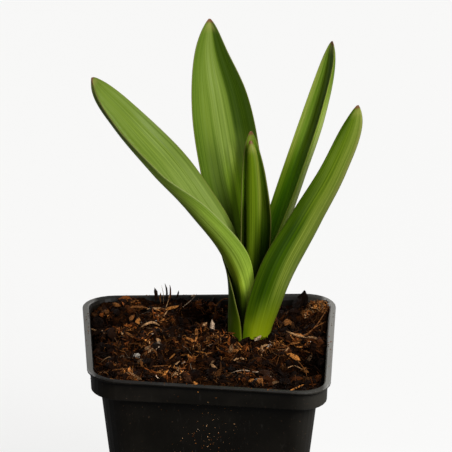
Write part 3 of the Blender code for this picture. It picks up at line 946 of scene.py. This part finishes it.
def pick_tint(draw, shares, spot=None):
    """One of the soil's colours, drawn by its share and varied: darker off the clumps, with painted shade in
    the hollows and painted shadows.
    """
    shares = np.array(shares, float)
    shade = 1.0
    if spot:
        shares[:2] *= 3.0 - 2.0 * clumped(*spot)
        # Painted shade in the hollows and painted shadows, and darker off the clumps
        shade = (1 - 0.92 * in_painted_shade(*spot)) * (0.34 + 1.25 * clumped(*spot))
    chosen = SOIL_COLOURS[draw.choice(len(SOIL_COLOURS), p=shares / shares.sum())]
    return np.array(chosen) * (0.35 + 1.5 * draw.random() ** 2) * shade


def mostly_short(draw, low, high, power):
    """A random length, more often near the low end."""
    return low + (high - low) * draw.random() ** power


def add_crumbs(material):
    """Crumbs and clods of peat, half sunk in the soil."""
    draw = np.random.default_rng(SEED)
    bits = Bits()
    shapes = {level: lump_shapes(level, 9) for level in (1, 2)}
    for count, small, large, level in CRUMBS:
        for _ in range(count):
            x, y = free_spot(draw)
            size = mostly_short(draw, small, large, 2)
            points, faces = shapes[level][draw.integers(9)]
            stretched = points * draw.uniform(0.6, 1.25, 3) * size
            place = on_soil(x, y, size * draw.uniform(*CRUMB_LIFTS))
            bits.add(stretched @ turn_matrix(draw).T + place, faces, pick_tint(draw, CRUMB_SHARES, (x, y)))
    bits.make("soil_crumbs", material, False)


def add_chips(material):
    """Splinters and flakes of bark, strewn at random, with those that can be told apart."""
    draw = np.random.default_rng(SEED + 1)
    bits = Bits()
    for _ in range(CHIP_COUNT):
        x, y = free_spot(draw)
        length = mostly_short(draw, *CHIP_LENGTHS, 2.2)
        width, thickness = length * draw.uniform(*CHIP_WIDTHS), draw.uniform(*CHIP_THICKNESSES)
        points, faces = slat_shape(draw, length, width, thickness)
        turn = aimed(draw.uniform(0, 360), draw.normal(0, CHIP_TILT), draw.uniform(0, 360))
        place = on_soil(x, y, draw.uniform(*CHIP_LIFTS) - rim_drop(y))
        bits.add(points @ turn.T + place, faces, pick_tint(draw, CHIP_SHARES, (x, y)))
    for x, y, lift, bearing, rise, length, width, thickness, colour in SLATS:
        points, faces = slat_shape(draw, length, width, thickness)
        place = on_soil(x, y, lift + SLAT_LIFT)
        bits.add(points @ aimed(bearing, rise, draw.uniform(-20, 20)).T + place, faces, colour)
    bits.make("soil_chips", material, False)


def add_tufts(material):
    """Fluffy tufts of shredded bark."""
    draw = np.random.default_rng(SEED + 5)
    bits = Bits()
    for x, y, lift, radius, count in TUFTS:
        middle = on_soil(x, y, lift)
        for _ in range(count):
            away = draw.normal(size=3)
            away /= np.linalg.norm(away)
            sizes = [draw.uniform(*limits) for limits in SHRED_SIZES]
            points, faces = slat_shape(draw, *sizes)
            place = middle + away * radius * draw.uniform(*TUFT_SHELL) * np.array(TUFT_FORM)
            bits.add(points @ turn_matrix(draw).T + place, faces, pick_tint(draw, TUFT_SHARES))
    bits.make("soil_tufts", material, False)


def add_lumps(material):
    """The few large lumps."""
    draw = np.random.default_rng(SEED + 2)
    bits = Bits()
    shapes = lump_shapes(3, 4)
    for x, y, lift, radius, colour in LUMPS:
        points, faces = shapes[draw.integers(4)]
        bits.add(radius * points @ turn_matrix(draw).T + on_soil(x, y, lift), faces, colour)
    bits.make("soil_lumps", material, True)


def add_fibres(material):
    """Fine roots that wander over the soil, with those that can be told apart."""
    draw = np.random.default_rng(SEED + 3)
    bits = Bits()
    for _ in range(FIBRE_COUNT):
        x, y = free_spot(draw)
        stride = mostly_short(draw, *FIBRE_LENGTHS, 2) / FIBRE_STEPS
        bearing = draw.uniform(0, 2 * np.pi)
        lift, arch, path = draw.uniform(*FIBRE_LIFTS), draw.uniform(*FIBRE_ARCHES), []
        for step in range(FIBRE_STEPS):
            x += stride * np.cos(bearing)
            y += stride * np.sin(bearing)
            x, y = np.clip((x, y), -SOIL_HALF + 1, SOIL_HALF - 1)
            bearing += draw.normal(0, FIBRE_TURN)
            rise = lift + arch * np.sin(np.pi * step / (FIBRE_STEPS - 1))
            rise += clump_rise(x, y) - rim_drop(y)
            path.append((x, y, soil_height(x, y) + rise))
        root = tube(smooth_path(pushed(path), 12), draw.uniform(*FIBRE_RADII), 4)
        bits.add(*root, pick_tint(draw, FIBRE_SHARES, (x, y)))
    for colour, thickness, *points in ROOTS:
        path = [on_soil(x, y, lift) for x, y, lift in points]
        bits.add(*tube(smooth_path(path, 24), thickness / 2, 7), colour)
    bits.make("soil_fibres", material, True)


def wall_half(height):
    """Outer half width of the pot at a height."""
    collar_foot = POT_HEIGHT - COLLAR_HEIGHT
    if height > collar_foot:
        return COLLAR_HALF
    return WALL_BOTTOM_HALF + (WALL_TOP_HALF - WALL_BOTTOM_HALF) * height / collar_foot


def add_grain(bits, draw, shapes, place, sizes, shares):
    """One grain at a place of the pot before its rim is pushed."""
    points, faces = shapes[draw.integers(len(shapes))]
    points = draw.uniform(*sizes) * points @ turn_matrix(draw).T + pushed([place])[0]
    bits.add(points, faces, pick_tint(draw, shares))


def add_dirt(material):
    """Grains of soil that cling to the pot's wall and lip."""
    draw = np.random.default_rng(SEED + 4)
    bits = Bits()
    shapes = lump_shapes(1, 6)
    for index in range(DIRT_COUNT):
        turn = np.radians(90 * draw.integers(4))
        if index % LIP_EVERY:
            height, sizes = draw.uniform(*WALL_HEIGHTS), WALL_GRAINS
            out, side = wall_half(height), np.clip(draw.normal(0, WALL_SPREAD), -WALL_REACH, WALL_REACH)
        else:
            height, sizes = POT_HEIGHT, LIP_GRAINS
            out = LIP_HALF - LIP_INSET + draw.uniform(*LIP_SHIFTS)
            side = draw.uniform(-LIP_REACH, LIP_REACH)
        x = out * np.cos(turn) - side * np.sin(turn)
        y = out * np.sin(turn) + side * np.cos(turn)
        add_grain(bits, draw, shapes, (x, y, height), sizes, DIRT_SHARES)
    count, across, height, spread, rise = DIRT_PATCH
    for _ in range(count):
        x, z = draw.normal(across, spread), min(draw.normal(height, rise), PATCH_TOP)
        add_grain(bits, draw, shapes, (x, -wall_half(z), z), PATCH_GRAINS, PATCH_SHARES)
    bits.make("pot_dirt", material, False)


# Leaves

def smooth_through(knots, values, at):
    """Values at the knots joined by a cubic curve."""
    step = np.diff(knots)
    slope = np.diff(values, axis=0) / step[:, None]
    tangent = np.empty_like(values)
    before, after = step[:-1, None], step[1:, None]
    tangent[1:-1] = (slope[:-1] * after + slope[1:] * before) / (before + after)
    tangent[0], tangent[-1] = slope[0], slope[-1]
    piece = np.clip(np.searchsorted(knots, at, side="right") - 1, 0, len(step) - 1)
    width = step[piece][:, None]
    t = (at - knots[piece])[:, None] / width
    return (
        (1 + 2 * t) * (1 - t) ** 2 * values[piece]
        + t * (1 - t) ** 2 * width * tangent[piece]
        + t * t * (3 - 2 * t) * values[piece + 1]
        + t * t * (t - 1) * width * tangent[piece + 1]
    )


def leaf_rows(sheath, *blade):
    """The rows of one leaf from its foot to its tip."""
    radius, bearing, wrap, top = sheath
    x = NECK[0] + radius * np.cos(np.radians(bearing))
    y = NECK[1] + radius * np.sin(np.radians(bearing))
    facing = bearing + 180 if bearing <= 90 else bearing - 180
    foot = [(x, y, height, radius * np.radians(wrap), wrap, facing) for height in (LEAF_FOOT, top)]
    return np.array([*foot, *blade], float)


def relief(across, along, seed):
    """How far the blade's surface stands out: broad flutes, ribs and fine parallel veins."""
    flutes, ribs, drift = (
        depth * noise.noise((across / width, along / length, seed + layer))
        for depth, width, length, layer in LEAF_WAVES
    )
    return flutes + ribs + VEIN_DEPTH * np.sin(2 * np.pi * across / VEIN_WIDTH + drift)


def leaf_spine(name):
    """Rows of a blade: how far along, middle, half width, wrap, and the directions across and inward."""
    rows = leaf_rows(*LEAVES[name])
    knots = lengths_along(rows[:, :3])
    along = knots[-1] * (1 - (1 - np.linspace(0, 1, BLADE_ROWS + 1)) ** TIP_CROWDING)
    rows[:, 3] **= TIP_POWER
    values = smooth_through(knots, rows, along)
    midrib, halves = values[:, :3], values[:, 3] ** (1 / TIP_POWER)
    wraps, facing = np.radians(values[:, 4:]).T
    growth = unit(np.gradient(midrib, along, axis=0))
    look = np.column_stack([np.cos(facing), np.sin(facing), np.zeros(len(along))])
    inward = unit(look - (look * growth).sum(axis=1)[:, None] * growth)
    return along, midrib, halves, wraps, np.cross(inward, growth), inward


def blade_faces(rows, loop):
    """Faces round a stack of closed rings, with a cap at each end."""
    index = np.arange(loop)
    after = np.roll(index, -1)
    around = np.column_stack([index, after, loop + after, loop + index])
    faces = [row * loop + around for row in range(rows - 1)]
    half = np.arange(loop // 2)
    for start in (0, (rows - 1) * loop):
        low, high = start + half, start + (loop - half) % loop
        cap = np.column_stack([low[:-1], high[:-1], high[1:], low[1:]])
        faces.append(cap[1:] if start == 0 else cap[1:, ::-1])
    return np.concatenate(faces)


def add_leaf(name, material, seed):
    """A cupped blade with round margins and veins, along the solid's own rows."""
    spine = leaf_spine(name)
    length, widest = spine[0][-1], 2 * spine[2].max()
    columns = int(widest / COLUMN_WIDTH)
    rings, facts = [], []
    for at, midrib, half, wrap, across, inward in zip(*spine):
        width, from_tip = 2 * half, length - at
        rounding = min(MARGIN_ROUND, MARGIN_SHARE * width)
        margin = np.array(MARGIN_STEPS) * rounding / width * 2
        blade = np.linspace(rounding / width, 1 - rounding / width, columns - 5)
        shares = np.concatenate([margin, blade, 1 - margin[::-1]])
        side = 2 * shares - 1
        turn, radius = wrap * side, half / wrap
        sine, cosine = np.sin(turn), np.cos(turn)
        middle = midrib + radius * np.outer(sine, across) + radius * np.outer(1 - cosine, inward)
        normal = np.outer(cosine, inward) - np.outer(sine, across)
        from_margin = np.minimum(shares, 1 - shares) * width
        edge = np.sqrt(1 - (1 - np.clip(from_margin / rounding, 0, 1)) ** 2)
        tip = np.sqrt(np.clip(from_tip / TIP_THIN, TIP_LEAST, 1))
        thick = (MARGIN_THICK + (BLADE_THICK - MARGIN_THICK) * (1 - side ** 2)) * edge * tip
        fade = np.clip(from_margin / FADE_MARGIN, 0, 1) * np.clip(from_tip / FADE_TIP, 0, 1)
        fade *= np.clip((at - RELIEF_START) / RELIEF_RUN, 0, 1)
        over = (shares - 0.5) * widest
        wave = fade * [relief(place, at, seed) for place in over]
        outer, inner = (middle + (wave + lift * thick / 2)[:, None] * normal for lift in (-1, 1))
        rings.append(np.concatenate([outer, inner[-2:0:-1]]))
        count = len(rings[-1])
        facts.append(np.column_stack([
            *(np.concatenate([fact, fact[-2:0:-1]]) for fact in (over, from_margin, side)),
            np.full(count, at), np.full(count, from_tip), np.arange(count) >= len(shares),
        ]))
    points = np.concatenate(rings)
    blade = mesh_object(name + "_blade", points, blade_faces(len(rings), len(rings[0])), material)
    for fact, values in zip(LEAF_FACTS, (*np.concatenate(facts).T, points[:, 2])):
        set_values(blade, fact, values)
    settle(blade, name, name)


# Studio

def aim(thing, place, target):
    thing.location = Vector(place) * MM
    thing.rotation_euler = (Vector(target) - Vector(place)).to_track_quat("-Z", "Y").to_euler()


def add_camera():
    data = bpy.data.cameras.new("camera")
    data.sensor_width = SENSOR_WIDTH
    data.lens = SENSOR_WIDTH * VIEW_DISTANCE / VIEW_WIDTH
    data.clip_end = VIEW_END * MM
    camera = add_object("camera", data)
    rise = np.radians(VIEW_ELEVATION)
    place = Vector(VIEW_TARGET) + VIEW_DISTANCE * Vector((0.0, -np.cos(rise), np.sin(rise)))
    aim(camera, place, VIEW_TARGET)
    bpy.context.scene.camera = camera


def add_floor():
    corners = FLOOR_HALF * np.array([(-1, -1, 0), (1, -1, 0), (1, 1, 0), (-1, 1, 0)])
    floor = mesh_object("floor", corners, np.array([[0, 1, 2, 3]]), floor_finish(), False)


def add_softbox(name, place, size, watts):
    data = bpy.data.lights.new(name, "AREA")
    data.shape = "SQUARE"
    data.size = size * MM
    data.energy = watts
    aim(add_object(name, data), place, LAMP_TARGET)


def add_world():
    """A white surround, bright where the camera sees it and dim as a light."""
    world = bpy.data.worlds.new("studio")
    world.use_nodes = True
    tree = world.node_tree
    seen = tree.nodes.new("ShaderNodeLightPath").outputs["Is Camera Ray"]
    strength = tree.nodes.new("ShaderNodeMapRange")
    strength.inputs["To Min"].default_value = WORLD_LIGHT
    strength.inputs["To Max"].default_value = WORLD_SEEN
    tree.links.new(seen, strength.inputs["Value"])
    tree.links.new(strength.outputs["Result"], tree.nodes["Background"].inputs["Strength"])
    tree.nodes["Background"].inputs["Color"].default_value = (1.0, 1.0, 1.0, 1.0)
    bpy.context.scene.world = world
    bpy.context.scene.view_settings.view_transform = "Standard"


def main():
    add_camera()
    add_floor()
    for softbox in SOFTBOXES:
        add_softbox(*softbox)
    add_world()
    pot_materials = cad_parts["pot"].data.materials
    pot_materials.clear()
    pot_materials.append(pot_finish())
    bits = bits_finish()
    add_soil_bed(soil_finish())
    for add in (add_crumbs, add_chips, add_tufts, add_lumps, add_fibres, add_dirt):
        add(bits)
    for index, (name, looks) in enumerate(LEAF_LOOKS_AND_PAINTED_LIGHT.items()):
        seed = LEAF_LAYER * index
        add_leaf(name, leaf_finish(name + "_green", seed, *looks), seed)


main()
